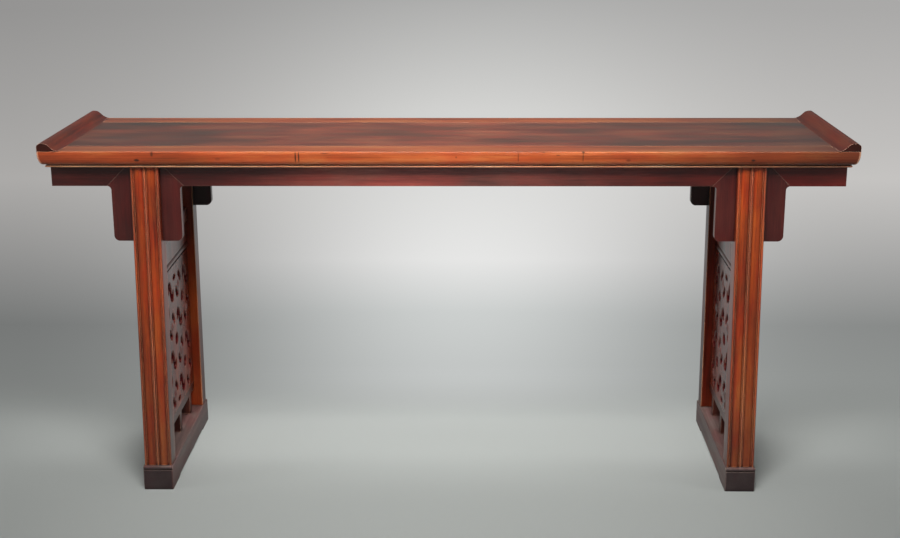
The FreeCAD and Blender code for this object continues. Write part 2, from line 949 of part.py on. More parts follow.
def right_runner():
    """Base runner with mortises for both legs."""
    side = runner_side()
    side.translate(Vector(-runner_width / 2, 0, 0))
    runner = side.extrude(Vector(runner_width, 0, 0)).common(rounded_plan()).common(rounded_top())
    runner.translate(Vector(leg_centre(runner_height), 0, 0))
    mortise = leg_foot_tenon(fit_gap)
    struts = [strut_tenon(place, fit_gap) for place in strut_places()]
    return runner.cut([mortise, mirror_y(mortise)] + struts)


def save_pair(name, shape):
    """Write a piece of the right-hand end and its mirror image at the left."""
    save("right_" + name, shape)
    save("left_" + name, mirror_x(shape))


def save_four(name, shape):
    """Write a piece of the front right corner and its mirror images at the other three."""
    save("front_right_" + name, shape)
    save("front_left_" + name, mirror_x(shape))
    save("rear_right_" + name, mirror_y(shape))
    save("rear_left_" + name, mirror_y(mirror_x(shape)))


def main():
    """Make and write every piece."""
    rail = front_long_rail()
    save("front_long_rail", rail)
    save("rear_long_rail", mirror_y(rail))
    save_pair("end_rail", right_end_rail())
    save("top_panel", top_panel())
    for name, place in zip(("outer_left", "inner_left", "inner_right", "outer_right"), batten_places()):
        save(name + "_batten", batten(place))
    apron = front_apron()
    save("front_apron", apron)
    save("rear_apron", mirror_y(apron))
    save_pair("end_apron", right_end_apron())
    save_four("spandrel", front_right_spandrel())
    save_four("leg", front_right_leg())
    save_pair("upper_cross_rail", right_upper_cross_rail())
    save_pair("plain_panel", right_plain_panel())
    save_pair("middle_cross_rail", right_middle_cross_rail())
    save_pair("openwork_panel", right_openwork_panel())
    save_pair("lower_cross_rail", right_lower_cross_rail())
    for name, place in zip(("front", "centre", "rear"), strut_places()):
        save_pair(name + "_strut", right_strut(place))
    save_pair("runner", right_runner())


main()
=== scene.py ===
"""Chinese altar table: wood finishes, carved end panels and the studio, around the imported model.

Laid out as a Blender add-on: properties hold the sizes and colours, and each group of like pieces has
an operator. Lengths are metres unless a name ends in MM.
"""
import math

import bpy
import numpy as np
from bpy.props import FloatProperty, FloatVectorProperty, PointerProperty
from mathutils import Matrix, Vector


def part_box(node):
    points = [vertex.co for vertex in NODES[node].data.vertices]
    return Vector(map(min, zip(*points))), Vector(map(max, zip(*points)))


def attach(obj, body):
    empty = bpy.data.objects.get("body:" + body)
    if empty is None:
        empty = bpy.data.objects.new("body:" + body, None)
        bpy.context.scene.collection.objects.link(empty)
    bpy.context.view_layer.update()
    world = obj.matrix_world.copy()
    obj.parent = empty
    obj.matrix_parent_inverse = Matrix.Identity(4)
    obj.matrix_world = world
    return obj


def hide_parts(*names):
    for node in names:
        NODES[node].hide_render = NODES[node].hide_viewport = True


bl_info = {
    "name": "Altar table finish",
    "version": (1, 0, 0),
    "blender": (4, 5, 0),
    "location": "View3D > Sidebar > Altar table",
    "description": "Finishes and carving of a Chinese altar table, with its studio",
    "category": "Object",
}

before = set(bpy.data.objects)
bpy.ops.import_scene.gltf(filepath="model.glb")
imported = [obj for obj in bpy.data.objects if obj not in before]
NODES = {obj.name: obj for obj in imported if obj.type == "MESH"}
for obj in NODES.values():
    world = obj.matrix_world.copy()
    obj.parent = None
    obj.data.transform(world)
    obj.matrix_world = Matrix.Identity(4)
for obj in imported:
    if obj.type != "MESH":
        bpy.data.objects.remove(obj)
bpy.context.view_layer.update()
MM = 0.001


def linear(hex_colour):
    """Turn an sRGB hex colour such as #8a3d22 into linear light, with full alpha."""
    parts = [int(hex_colour[i:i + 2], 16) / 255 for i in (1, 3, 5)]
    return tuple(c / 12.92 if c <= 0.04045 else ((c + 0.055) / 1.055) ** 2.4 for c in parts) + (1.0,)


def add(tree, kind, inputs=None, out=0, stops=None, **settings):
    """Add a node with its settings and links, and give back one of its outputs."""
    node = tree.nodes.new(kind)
    for name, value in settings.items():
        setattr(node, name, value)
    for name, value in (inputs or {}).items():
        if isinstance(value, bpy.types.NodeSocket):
            tree.links.new(value, node.inputs[name])
        else:
            node.inputs[name].default_value = value
    if stops:
        ramp = node.color_ramp.elements
        while len(ramp) < len(stops):
            ramp.new(1.0)
        for element, (place, colour) in zip(ramp, stops):
            element.position = place
            element.color = colour
    return node.outputs[out] if node.outputs else node


# Settings

def paint(label, colour, description="Colour of the paint"):
    """Colour setting with its default written as an sRGB hex."""
    return FloatVectorProperty(
        name=label, description=description, subtype="COLOR", size=4, min=0.0, max=1.0,
        default=linear(colour),
    )


def tone(label, colour):
    """Colour setting of a wood."""
    return paint(label, colour, "Tone of the waxed wood")


def amount(label, description, default):
    """Setting from none to full."""
    return FloatProperty(
        name=label, description=description, default=default, min=0.0, max=1.0, subtype="FACTOR",
    )


def measure(label, description, default, unit="LENGTH"):
    """Setting of a length, an angle, a lens or the power of a lamp."""
    return FloatProperty(name=label, description=description, default=default, unit=unit)


class FinishSettings(bpy.types.PropertyGroup):
    """Colours of the woods and how far they are worn."""

    rail_shade: tone("Frame, dark streaks", "#531f0c")
    rail_body: tone("Frame, body", "#a24b22")
    rail_glow: tone("Frame, light streaks", "#be7642")
    rail_worn: tone("Frame, rubbed edges", "#f0b894")
    flange_shade: tone("Flanges, dark streaks", "#260c07")
    flange_body: tone("Flanges, body", "#662715")
    flange_glow: tone("Flanges, light streaks", "#8b4127")
    flange_worn: tone("Flanges, rubbed edges", "#e0b29a")
    panel_shade: tone("Panel, dark streaks", "#331e12")
    panel_body: tone("Panel, body", "#5a2e20")
    panel_glow: tone("Panel, light streaks", "#7c4530")
    panel_worn: tone("Panel, rubbed edges", "#a06448")
    apron_shade: tone("Aprons, dark streaks", "#190a09")
    apron_body: tone("Aprons, body", "#3e1512")
    apron_glow: tone("Aprons, light streaks", "#5a251f")
    apron_worn: tone("Aprons, rubbed edges", "#c0a490")
    leg_shade: tone("Legs, dark streaks", "#451407")
    leg_body: tone("Legs, body", "#923910")
    leg_glow: tone("Legs, light streaks", "#be6023")
    leg_worn: tone("Legs, rubbed edges", "#e0a078")
    carving_shade: tone("End frames, dark streaks", "#1d0c09")
    carving_body: tone("End frames, body", "#5c2519")
    carving_glow: tone("End frames, light streaks", "#84432f")
    carving_worn: tone("End frames, rubbed edges", "#d0a083")
    runner_shade: tone("Runners, dark streaks", "#2d2425")
    runner_body: tone("Runners, body", "#554541")
    runner_glow: tone("Runners, light streaks", "#6e5f5b")
    runner_worn: tone("Runners, rubbed edges", "#b29c90")
    batten_shade: tone("Battens, dark streaks", "#22120c")
    batten_body: tone("Battens, body", "#4d2d1e")
    batten_glow: tone("Battens, light streaks", "#6a432f")
    batten_worn: tone("Battens, rubbed edges", "#7d5741")
    # Deep red of the sawn walls, darkened as painted shade inside the holes
    sawn_and_shade: tone("Sawn walls of the holes", "#480d10")
    # Colour of grime, also used for painted shade in corners and for the dark marks
    grime_and_shade: tone("Grime in the corners", "#120806")
    rail_wear: amount("Rail wear", "How far the edges of the frame are rubbed light", 0.8)
    leg_wear: amount("Leg wear", "How far the edges of the legs are rubbed light", 0.65)
    apron_wear: amount("Apron wear", "How far the edges of aprons and spandrels are rubbed light", 0.5)


class CarvingSettings(bpy.types.PropertyGroup):
    """Sizes of the carving on the openwork panels."""

    edge_round: measure("Edge round", "Radius of the rounded edges round the holes", 0.0015)
    rosette_radius: measure("Rosette radius", "Half the width of a rosette", 0.013)
    rosette_rise: measure("Rosette rise", "How far a rosette stands off the panel", 0.0036)


class StudioSettings(bpy.types.PropertyGroup):
    """Stage, lamps and camera."""

    floor_near: paint("Floor round the table", "#959895")
    floor_far: paint("Floor far off", "#aaaaa8")
    floor_reach: measure("Floor reach", "Half the width of the studio floor", 22.0)
    key_power: measure("Key lamp", "Power of the soft lamp above and in front", 31.0, "POWER")
    front_power: measure("Front lamp", "Power of the narrow lamp that fills the middle", 0.8, "POWER")
    rear_power: measure("Rear lamp", "Power of the soft lamp above the floor behind", 17.0, "POWER")
    side_power: measure("Side lamps", "Power of each lamp that rakes along the front", 3.6, "POWER")
    lens: measure("Lens", "Focal length on a sensor 36 mm wide", 56.8, "CAMERA")
    camera_place: FloatVectorProperty(
        name="Camera", description="Place of the camera", default=(0.069, -3.641, 1.535), unit="LENGTH",
    )
    tilt: measure("Tilt", "How far the camera looks down", 0.2677, "ROTATION")
    pan: measure("Pan", "How far the camera turns to the left", 0.015, "ROTATION")
    roll: measure("Roll", "How far the camera leans", -0.0025, "ROTATION")


# Wood

GRAIN_TURNS = {"X": (0, 0, 0), "Y": (0, 0, math.pi / 2), "Z": (0, math.pi / 2, 0)}
GRAIN_LINES = {"X": (1, 0, 0), "Y": (0, 1, 0), "Z": (0, 0, 1)}

# Growth rings, and length and width of the other parts of the figure. A wave texture turns 20 radians
# for each unit of its scale
RING_SPACING_MM = 7.0
RING_WANDER_MM = 60.0
RING_STRETCH = 0.06
RING_DISTORTION = 9.0
WAVE_TURN = 20.0
CLOUD_MM = (260.0, 90.0)
FIBRE_MM = (90.0, 2.4)
PORE_MM = (22.0, 1.3)
PATCH_MM = (110.0, 34.0)
CLOUD_SHIFT = 3
PATCH_SHIFT = 7
FIBRE_SHARE = 0.3

# Colours: where the three tones stand in the figure, the red of patches, and how dark pores, end grain
# and the grime with painted shade in corners get
TONE_PLACES = (0.26, 0.5, 0.76)
RED_PATCH = linear("#ffb4b8")
PORE_DARKNESS = 0.35
END_DARKNESS = 0.85
GRIME_AND_SHADE_DARKNESS = 0.9

# Where each mask starts and where it is full
PORES = (0.60, 0.72)
PATCHES = (0.42, 0.62)
WALLS = (0.85, 0.6)
END_GRAIN = (0.75, 0.97)
ARRISES = (0.985, 0.86)
CRESTS = (0.92, 0.62)
OPEN_PLACES = (0.6, 0.85)
TOUGH_FIBRES = (0.35, 0.6)
# Fade of the grime and painted shade in corners
GRIME_AND_SHADE_FADE = 0.45
MARK_EDGE = (1.1, 0.5)
DULL_CLOUDS = (0.3, 0.7)

# Surface: thickness of a crest that hands rub, the share of wear that tough fibres take, radius of all
# arrises, height of fibres, depth of pores as a share of it, strength of both in the shading, how much
# duller a stain is, roughness of the wax, and rays that look for arrises and corners
CREST_MM = 3.0
LEAST_RUB = 0.7
ARRIS_MM = 1.0
FIBRE_RISE_MM = 0.3
PORE_SINK = 0.6
BUMP_STRENGTH = 0.2
DULLING = 0.12
WAX_ROUGHNESS = 0.2
SAMPLES = 6

# Wear of the flanges as a share of the rails', and of end frames and carving as shares of the legs'
FLANGE_WEAR = 0.3
END_FRAME_WEAR = 0.8
CARVING_WEAR = 0.25

# Tints. Each is what is measured, along which axis, where it starts, where it is full, and the colour
# that multiplies the wood's. Tops get painted shade, feet go darker towards the floor, and the bead under
# the moulded edge gets a painted highlight
TOP_SHADE_TINT = ("facing", "Z", 0.80, 0.97, linear("#d3e2f6"))
FEET_TINT = ("place", "Z", 0.55, 0.12, (0.58, 0.70, 1.2, 1.0))
# Painted highlight on the bead under the moulded edge, lifting it out of the swell's shade
BEAD_HIGHLIGHT_TINT = ("place", "Z", 0.8545, 0.8535, (2.3, 4.5, 9.0, 1.0))
# The middle of the aprons gets a painted sheen. The flanks of the legs, the upper parts of the rear
# ones, the fronts of the rear spandrels and the struts get painted shade, so they are dark. Rails, panel,
# flanges and rear legs get painted shade at the right end of the table, and the panel a little at the left
# end too
MIDDLE_SHEEN_TINTS = (
    ("place", "X", -0.6, -0.1, (2.9, 4.7, 4.3, 1.0)), ("place", "X", 0.1, 0.6, (0.57, 0.23, 0.22, 1.0)),
)
# Painted shade on the flanks of the legs
SIDE_SHADE_TINTS = (
    ("facing", "X", 0.3, 0.8, (0.5, 0.36, 0.42, 1.0)), ("facing", "X", -0.3, -0.8, (0.5, 0.36, 0.42, 1.0)),
)
SHADED_TINT = ("place", "Z", 0.42, 0.68, (0.28, 0.22, 0.26, 1.0))
# Painted shade on the fronts of the rear spandrels
REAR_SPANDREL_SHADE_TINT = ("facing", "Y", 0.3, -0.3, (0.25, 0.18, 0.18, 1.0))
REAR_RIGHT_SHADE_TINT = ("place", "X", -0.1, 0.1, (0.6, 0.45, 0.6, 1.0))
# Painted shade low down, where the struts stand
STRUT_SHADE_TINT = ("place", "Z", 0.17, 0.13, (0.35, 0.38, 0.42, 1.0))
# Painted shade towards the ends of the table
RIGHT_SHADE_TINT = ("place", "X", 0.2, 0.95, (0.6, 0.68, 0.7, 1.0))
CORNER_SHADE_TINT = ("place", "X", 0.8, 1.0, (0.6, 0.45, 0.5, 1.0))
LEFT_SHADE_TINT = ("place", "X", -0.3, -0.95, (0.80, 0.86, 0.88, 1.0))
FLANGE_SHADE_TINT = ("place", "X", -0.9, 0.9, (0.58, 0.62, 0.7, 1.0))

# Knots, knocks and old mends on the front rail's edge: place along it, height, half width, half height
# and strength
RAIL_FRONT = -0.250
MARK_DEPTH = 0.02
RAIL_MARKS = (
    (-0.757, 0.868, 0.008, 0.0040, 0.9),
    (-0.719, 0.884, 0.004, 0.0080, 0.7),
    (-0.559, 0.871, 0.008, 0.0050, 0.3),
    (-0.369, 0.876, 0.0022, 0.0170, 0.85),
    (-0.361, 0.876, 0.0022, 0.0170, 0.85),
    (-0.298, 0.886, 0.012, 0.0030, 0.45),
    (0.022, 0.876, 0.002, 0.0030, 0.7),
    (0.173, 0.876, 0.002, 0.0150, 0.5),
    (0.234, 0.888, 0.004, 0.0016, 0.6),
    (0.269, 0.881, 0.006, 0.0020, 0.6),
    (0.330, 0.876, 0.002, 0.0150, 0.6),
    (0.330, 0.888, 0.005, 0.0025, 0.8),
    (0.440, 0.868, 0.007, 0.0040, 0.5),
    (0.742, 0.868, 0.006, 0.0035, 0.9),
)


def along_grain(tree, grain, length_mm, width_mm, shift):
    """Object coordinates turned to run along the grain, in units of a figure's length and width."""
    turned = add(tree, "ShaderNodeMapping", {
        "Vector": add(tree, "ShaderNodeTexCoord", out="Object"),
        "Rotation": GRAIN_TURNS[grain], "Location": (shift, shift, shift),
    })
    across = 1 / (width_mm * MM)
    return add(tree, "ShaderNodeMapping", {"Vector": turned, "Scale": (1 / (length_mm * MM), across, across)})


def wood_value(tree, grain, shift, streak_mm, streaks, rings, clouds):
    """Light and dark of the figure, about a half, with the fibres, pores and clouds it is made of.

    Broad streaks run along the grain, growth rings wander through them, and clouds are old stains.
    Fibres and pores are drawn coarser than they are, about 2 mm wide, so that they show.
    """
    streak = add(tree, "ShaderNodeTexNoise", {
        "Vector": along_grain(tree, grain, *streak_mm, shift), "Scale": 1.0, "Detail": 3.0,
        "Distortion": 0.15,
    })
    cloud = add(tree, "ShaderNodeTexNoise", {
        "Vector": along_grain(tree, grain, *CLOUD_MM, shift + CLOUD_SHIFT), "Scale": 1.0, "Detail": 4.0,
    })
    fibres = add(tree, "ShaderNodeTexNoise", {
        "Vector": along_grain(tree, grain, *FIBRE_MM, shift), "Scale": 1.0, "Detail": 3.0, "Roughness": 0.6,
    })
    pores = add(tree, "ShaderNodeTexNoise", {
        "Vector": along_grain(tree, grain, *PORE_MM, shift), "Scale": 1.0, "Detail": 1.0,
    })
    pores = add(tree, "ShaderNodeMapRange", {
        "Value": pores, "From Min": PORES[0], "From Max": PORES[1],
    }, interpolation_type="SMOOTHSTEP")
    ring_scale = 2 * math.pi / WAVE_TURN / (RING_SPACING_MM * MM)
    ring_place = add(tree, "ShaderNodeMapping", {
        "Vector": along_grain(tree, grain, 1 / MM, 1 / MM, shift), "Scale": (RING_STRETCH, 1.0, 1.0),
    })
    ring = add(tree, "ShaderNodeTexWave", {
        "Vector": ring_place, "Scale": ring_scale, "Distortion": RING_DISTORTION, "Detail": 2.0,
        "Detail Scale": 1 / (RING_WANDER_MM * MM) / ring_scale, "Detail Roughness": 0.55,
    }, out="Fac", wave_type="RINGS", rings_direction="X", wave_profile="SIN")
    value = 0.5 - (streaks + rings + clouds + FIBRE_SHARE) / 2
    for part, share in ((streak, streaks), (ring, rings), (cloud, clouds), (fibres, FIBRE_SHARE)):
        value = add(tree, "ShaderNodeMath", {0: part, 1: share, 2: value}, operation="MULTIPLY_ADD")
    return value, fibres, pores, cloud


def waxed_hardwood(name, grain, tones, settings, shift=0.0, wear=0.8, gloss=0.34, streak_mm=(700.0, 26.0),
                   streaks=0.7, rings=0.04, clouds=0.5, arris_mm=1.8, crests=0.0, blush=0.5, tints=(),
                   hollows=0.0, end_wear=-0.8, wax=0.2, ior=1.45, grime_and_shade_mm=16.0, grime_and_shade_from=0.8, marks=()):
    """Rosewood-like Chinese hardwood, planed by hand, darkened unevenly by age and waxed.

    The planing leaves a fine ribbed shine, age gives dark streaks, cloudy stains, red patches and dark end
    grain, and handling rubs arrises and beads light, while dirt, wax and painted shade darken the corners.

    tones are the dark streaks, the body, the light streaks and the rubbed edges, and shift moves the
    figure. streak_mm is the length and width of a streak. streaks, rings and clouds are their shares of
    the figure, and blush is how red the patches are. tints multiply the colour by place or facing; most
    paint shade, sheen or a highlight. hollows is how far the walls of holes, which face along the board,
    take the sawn colour, the wood's deep red darkened as painted shade. wear rubs arrises within arris_mm,
    and crests rubs thin crests too. end_wear is how much more arrises of end grain are rubbed than others,
    or less if it is below nothing. Dirt and painted shade reach grime_and_shade_mm out of a corner, to where
    the share of open sky is grime_and_shade_from. gloss is the roughness where no stain dulls the wood, wax
    is the share of a clear coat, and ior is low where the old wax has gone dull. marks are dark ovals.
    """
    shade, body, glow, worn = tones
    material = bpy.data.materials.new(name)
    material.use_nodes = True
    tree = material.node_tree
    tree.nodes.clear()
    place = add(tree, "ShaderNodeTexCoord", out="Object")
    facet = add(tree, "ShaderNodeNewGeometry", out="True Normal")
    value, fibres, pores, cloud = wood_value(tree, grain, shift, streak_mm, streaks, rings, clouds)
    stops = list(zip(TONE_PLACES, (shade, body, glow)))
    colour = add(tree, "ShaderNodeValToRGB", {"Fac": value}, stops=stops)
    dark_pores = add(tree, "ShaderNodeMath", {0: pores, 1: PORE_DARKNESS}, operation="MULTIPLY")
    colour = add(tree, "ShaderNodeMix", {0: dark_pores, 6: colour, 7: shade}, out=2, data_type="RGBA")
    patches = add(tree, "ShaderNodeTexNoise", {
        "Vector": along_grain(tree, grain, *PATCH_MM, shift + PATCH_SHIFT), "Scale": 1.0, "Detail": 3.0,
    })
    patches = add(tree, "ShaderNodeMapRange", {
        "Value": patches, "From Min": PATCHES[0], "From Max": PATCHES[1], "To Max": blush,
    }, interpolation_type="SMOOTHSTEP")
    colour = add(tree, "ShaderNodeMix", {0: patches, 6: colour, 7: RED_PATCH}, out=2, data_type="RGBA",
                 blend_type="MULTIPLY")
    for source, axis, start, end, tint in tints:
        measured = add(tree, "ShaderNodeSeparateXYZ", {0: facet if source == "facing" else place}, out=axis)
        measured = add(tree, "ShaderNodeMapRange", {
            "Value": measured, "From Min": start, "From Max": end,
        }, interpolation_type="SMOOTHSTEP")
        colour = add(tree, "ShaderNodeMix", {0: measured, 6: colour, 7: tint}, out=2, data_type="RGBA",
                     blend_type="MULTIPLY")
    # Walls of holes take the sawn colour: the wood's deep red, darkened as painted shade
    if hollows:
        outward = add(tree, "ShaderNodeSeparateXYZ", {0: facet}, out="X")
        outward = add(tree, "ShaderNodeMath", {0: outward}, operation="ABSOLUTE")
        walls = add(tree, "ShaderNodeMapRange", {
            "Value": outward, "From Min": WALLS[0], "From Max": WALLS[1], "To Max": hollows,
        }, interpolation_type="SMOOTHSTEP")
        colour = add(tree, "ShaderNodeMix", {0: walls, 6: colour, 7: settings.sawn_and_shade}, out=2, data_type="RGBA")

    # End grain drinks more stain and wax, so it goes dark
    along = add(tree, "ShaderNodeVectorMath", {0: facet, 1: GRAIN_LINES[grain]}, out="Value",
                operation="DOT_PRODUCT")
    along = add(tree, "ShaderNodeMath", {0: along}, operation="ABSOLUTE")
    end_grain = add(tree, "ShaderNodeMapRange", {
        "Value": along, "From Min": END_GRAIN[0], "From Max": END_GRAIN[1], "To Max": END_DARKNESS,
    }, interpolation_type="SMOOTHSTEP")
    colour = add(tree, "ShaderNodeMix", {0: end_grain, 6: colour, 7: shade}, out=2, data_type="RGBA")

    # Rubbed arrises, where a softened normal leaves the facet's, and crests, thin seen from inside
    worn_normal = add(tree, "ShaderNodeBevel", {"Radius": arris_mm * MM}, samples=SAMPLES)
    bend = add(tree, "ShaderNodeVectorMath", {0: worn_normal, 1: facet}, out="Value", operation="DOT_PRODUCT")
    edge = add(tree, "ShaderNodeMapRange", {
        "Value": bend, "From Min": ARRISES[0], "From Max": ARRISES[1],
    }, interpolation_type="SMOOTHSTEP")
    inside = add(tree, "ShaderNodeAmbientOcclusion", {"Distance": CREST_MM * MM}, out="AO", samples=SAMPLES,
                 inside=True, only_local=True)
    crest = add(tree, "ShaderNodeMapRange", {
        "Value": inside, "From Min": CRESTS[0], "From Max": CRESTS[1], "To Max": crests,
    }, interpolation_type="SMOOTHSTEP")
    openness = add(tree, "ShaderNodeAmbientOcclusion", {"Distance": grime_and_shade_mm * MM}, out="AO", samples=SAMPLES)
    within_reach = add(tree, "ShaderNodeMapRange", {
        "Value": openness, "From Min": OPEN_PLACES[0], "From Max": OPEN_PLACES[1],
    }, interpolation_type="SMOOTHSTEP")
    rubbed = add(tree, "ShaderNodeMapRange", {
        "Value": fibres, "From Min": TOUGH_FIBRES[0], "From Max": TOUGH_FIBRES[1],
        "To Min": LEAST_RUB * wear, "To Max": wear,
    })
    by_grain = add(tree, "ShaderNodeMath", {0: end_grain, 1: end_wear, 2: 1.0}, operation="MULTIPLY_ADD")
    arris = add(tree, "ShaderNodeMath", {0: edge, 1: crest}, operation="MAXIMUM")
    for share in (rubbed, within_reach, by_grain):
        arris = add(tree, "ShaderNodeMath", {0: arris, 1: share}, operation="MULTIPLY")
    colour = add(tree, "ShaderNodeMix", {0: arris, 6: colour, 7: worn}, out=2, data_type="RGBA")
    # Corners that see little open sky get darker: grime and painted shade together
    dirt_and_shade = add(tree, "ShaderNodeMapRange", {
        "Value": openness, "From Min": grime_and_shade_from, "From Max": grime_and_shade_from - GRIME_AND_SHADE_FADE,
        "To Max": GRIME_AND_SHADE_DARKNESS,
    }, interpolation_type="SMOOTHSTEP")
    colour = add(tree, "ShaderNodeMix", {0: dirt_and_shade, 6: colour, 7: settings.grime_and_shade}, out=2, data_type="RGBA")

    # Small dark knots and knocks, each an oval round its place
    for x, z, half_width, half_height, strength in marks:
        away = add(tree, "ShaderNodeVectorMath", {0: place, 1: (x, RAIL_FRONT, z)}, operation="SUBTRACT")
        away = add(tree, "ShaderNodeVectorMath", {0: away, 1: (half_width, MARK_DEPTH, half_height)},
                   operation="DIVIDE")
        away = add(tree, "ShaderNodeVectorMath", {0: away}, out="Value", operation="LENGTH")
        mark = add(tree, "ShaderNodeMapRange", {
            "Value": away, "From Min": MARK_EDGE[0], "From Max": MARK_EDGE[1], "To Max": strength,
        }, interpolation_type="SMOOTHSTEP")
        colour = add(tree, "ShaderNodeMix", {0: mark, 6: colour, 7: settings.grime_and_shade}, out=2, data_type="RGBA")

    # Fibres stand up and pores sink, and stains are duller than clean wood
    height = add(tree, "ShaderNodeMath", {0: pores, 1: -PORE_SINK, 2: fibres}, operation="MULTIPLY_ADD")
    soft = add(tree, "ShaderNodeBevel", {"Radius": ARRIS_MM * MM}, samples=SAMPLES)
    bump = add(tree, "ShaderNodeBump", {
        "Height": height, "Strength": BUMP_STRENGTH, "Distance": FIBRE_RISE_MM * MM, "Normal": soft,
    })
    roughness = add(tree, "ShaderNodeMapRange", {
        "Value": cloud, "From Min": DULL_CLOUDS[0], "From Max": DULL_CLOUDS[1],
        "To Min": gloss, "To Max": gloss + DULLING,
    })
    shader = add(tree, "ShaderNodeBsdfPrincipled", {
        "Base Color": colour, "Roughness": roughness, "IOR": ior, "Coat Weight": wax,
        "Coat Roughness": WAX_ROUGHNESS, "Normal": bump,
    })
    add(tree, "ShaderNodeOutputMaterial", {"Surface": shader})
    return material


def wood_tones(settings, wood):
    """The four tones of a wood."""
    return [getattr(settings, wood + "_" + part) for part in ("shade", "body", "glow", "worn")]


def dress(names, material):
    """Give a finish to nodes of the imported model."""
    for name in names:
        slots = NODES[name].data.materials
        slots.clear()
        slots.append(material)


class ALTAR_OT_framed_top(bpy.types.Operator):
    """Finish the mitred frame, its everted flanges and the floating panel"""

    bl_idname = "altar.framed_top"
    bl_label = "Framed top"

    def execute(self, context):
        settings = context.scene.altar_finish
        # Long boards picked for their even orange figure, with long soft streaks
        # Painted shade on the tops, towards the right end and at the right corner, and a painted highlight on
        # the bead
        dress(["front_long_rail", "rear_long_rail"], waxed_hardwood(
            "waxed_rosewood_long_rails", "X", wood_tones(settings, "rail"), settings,
            wear=settings.rail_wear, gloss=0.36, streak_mm=(420.0, 18.0), streaks=0.55, clouds=0.35,
            arris_mm=1.2, crests=0.7, blush=0.35, tints=(TOP_SHADE_TINT, BEAD_HIGHLIGHT_TINT, RIGHT_SHADE_TINT, CORNER_SHADE_TINT),
            grime_and_shade_mm=5.0, marks=RAIL_MARKS,
        ))
        # The same wood, shaped by gouge and scraper, so browner and less even
        # Painted shade deepening towards the right end of the flanges
        dress(["left_end_rail", "right_end_rail"], waxed_hardwood(
            "waxed_rosewood_flanges", "Y", wood_tones(settings, "flange"), settings, shift=1.0,
            wear=settings.rail_wear * FLANGE_WEAR, gloss=0.36, streaks=0.45, arris_mm=1.6,
            tints=(FLANGE_SHADE_TINT,), end_wear=3.5, wax=0.05, ior=1.36,
        ))
        # A wide flat-sawn board, dark and glossy from use, with cloudy stains
        # Painted shade towards both ends of the panel
        dress(["top_panel"], waxed_hardwood(
            "waxed_rosewood_panel", "X", wood_tones(settings, "panel"), settings, shift=0.4, wear=0.3,
            streak_mm=(380.0, 60.0), streaks=0.5, clouds=1.1, tints=(LEFT_SHADE_TINT, RIGHT_SHADE_TINT),
        ))
        return {"FINISHED"}


class ALTAR_OT_battens(bpy.types.Operator):
    """Finish the battens under the panel"""

    bl_idname = "altar.battens"
    bl_label = "Battens"

    def execute(self, context):
        settings = context.scene.altar_finish
        # Planed and left dry, out of sight, so dull
        dress([name for name in NODES if name.endswith("batten")], waxed_hardwood(
            "plain_hardwood_battens", "Y", wood_tones(settings, "batten"), settings, shift=0.7, wear=0.3,
            gloss=0.55,
        ))
        return {"FINISHED"}


class ALTAR_OT_aprons(bpy.types.Operator):
    """Finish aprons and spandrels"""

    bl_idname = "altar.aprons"
    bl_label = "Aprons and spandrels"

    def execute(self, context):
        settings = context.scene.altar_finish
        # Thin boards stained deep red-brown, cloudy rather than streaked
        # The long aprons get a painted sheen in the middle, and the fronts of the rear spandrels painted
        # shade
        for names, grain, wood, tints in (
            (["front_apron", "rear_apron"], "X", "waxed_rosewood_aprons", MIDDLE_SHEEN_TINTS),
            (["left_end_apron", "right_end_apron"], "Y", "waxed_rosewood_end_aprons", ()),
            (["front_left_spandrel", "front_right_spandrel"], "Z", "waxed_rosewood_spandrels", ()),
            (["rear_left_spandrel", "rear_right_spandrel"], "Z", "waxed_rosewood_rear_spandrels",
             (REAR_SPANDREL_SHADE_TINT,)),
        ):
            dress(names, waxed_hardwood(
                wood, grain, wood_tones(settings, "apron"), settings, shift=0.5, wear=settings.apron_wear,
                gloss=0.36, streaks=0.4, rings=0.02, clouds=0.7, arris_mm=1.1, wax=0.05, tints=tints,
            ))
        return {"FINISHED"}


class ALTAR_OT_legs(bpy.types.Operator):
    """Finish the four moulded legs"""

    bl_idname = "altar.legs"
    bl_label = "Legs"

    def execute(self, context):
        settings = context.scene.altar_finish
        # Straight-grained posts, orange with dark red streaks, their beads rubbed light. The rear ones are
        # seldom waxed, so duller
        # All legs get painted shade on their flanks, and the rear ones on their upper parts and at the right
        # end
        for side, tints, wax, ior in (
            ("front", (), 0.1, 1.45), ("rear", (SHADED_TINT, REAR_RIGHT_SHADE_TINT), 0.0, 1.36),
        ):
            dress([f"{side}_left_leg", f"{side}_right_leg"], waxed_hardwood(
                f"waxed_rosewood_{side}_legs", "Z", wood_tones(settings, "leg"), settings, shift=0.3,
                wear=settings.leg_wear, streak_mm=(1200.0, 15.0), streaks=0.6, rings=0.02, clouds=0.7,
                arris_mm=1.2, crests=1.0, blush=0.6, tints=(FEET_TINT, *SIDE_SHADE_TINTS, *tints), wax=wax,
                ior=ior, grime_and_shade_mm=8.0, grime_and_shade_from=0.78,
            ))
        return {"FINISHED"}


class ALTAR_OT_end_frames(bpy.types.Operator):
    """Finish the cross rails, plain boards and struts between the legs"""

    bl_idname = "altar.end_frames"
    bl_label = "End frames"

    def execute(self, context):
        settings = context.scene.altar_finish
        # Planed rails and upright boards, brown from old wax, with a soft even shine and rubbed edges
        # Painted shade low down on the boards, rails and struts
        for ending, grain, wood in (
            ("cross_rail", "Y", "waxed_rosewood_cross_rails"),
            (("plain_panel", "openwork_panel", "strut"), "Z", "waxed_rosewood_end_boards"),
        ):
            dress([name for name in NODES if name.endswith(ending)], waxed_hardwood(
                wood, grain, wood_tones(settings, "carving"), settings, shift=0.6,
                wear=settings.leg_wear * END_FRAME_WEAR, tints=(STRUT_SHADE_TINT,),
            ))
        return {"FINISHED"}


